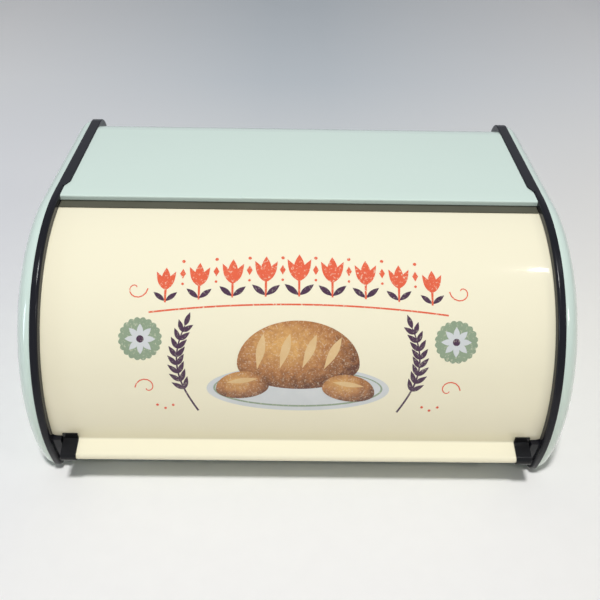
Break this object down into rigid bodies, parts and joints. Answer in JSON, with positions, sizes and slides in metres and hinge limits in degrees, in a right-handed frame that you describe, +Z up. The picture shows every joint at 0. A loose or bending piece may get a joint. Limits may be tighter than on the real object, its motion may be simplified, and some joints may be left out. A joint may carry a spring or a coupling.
{
  "type": "roll-top bread box",
  "caption": "Steel bread box with a curved lid that rolls up and back inside, domed end caps and black moulded side frames.",
  "frame": {"origin": "middle of the footprint at table height: half way between the end caps, and half way between the back and the front of the handle clips", "axes": "+X to the object's left-to-right as seen from the front, +Y towards the back, +Z up"},
  "size_m": [0.43, 0.295, 0.186],
  "materials": {
    "mint_paint": "gloss mint-green enamel on steel sheet",
    "cream_paint": "gloss cream enamel on steel sheet, printed ornament under lacquer",
    "frame_plastic": "moulded black plastic, satin to gloss",
    "clip_plastic": "moulded black plastic",
    "runner_nylon": "black nylon",
    "zinc_steel": "zinc-plated steel",
    "seal_rubber": "dark olive-grey rubber strip, matt",
    "foot_rubber": "matt black rubber"
  },
  "bodies": {
    "box": {"body_shell": "mint_paint", "base_pan": "mint_paint", "left_end_cap": "mint_paint", "right_end_cap": "mint_paint", "left_side_frame": "frame_plastic", "right_side_frame": "frame_plastic", "left_frame_screws": "zinc_steel", "right_frame_screws": "zinc_steel", "seam_rivets": "zinc_steel", "front_left_foot": "foot_rubber", "front_right_foot": "foot_rubber", "rear_left_foot": "foot_rubber", "rear_right_foot": "foot_rubber", "hem_seal": "seal_rubber"},
    "lid": {"lid_panel": "cream_paint", "left_handle_clip": "clip_plastic", "right_handle_clip": "clip_plastic", "left_lid_runner": "runner_nylon", "right_lid_runner": "runner_nylon", "left_runner_rivet": "zinc_steel", "right_runner_rivet": "zinc_steel"}
  },
  "joints": [
    {"name": "lid_roll", "type": "hinge", "parent": "box", "child": "lid", "pos_m": [0, 0, 0.047], "axis": [-1, 0, 0], "range_deg": [0, 84]}
  ]
}
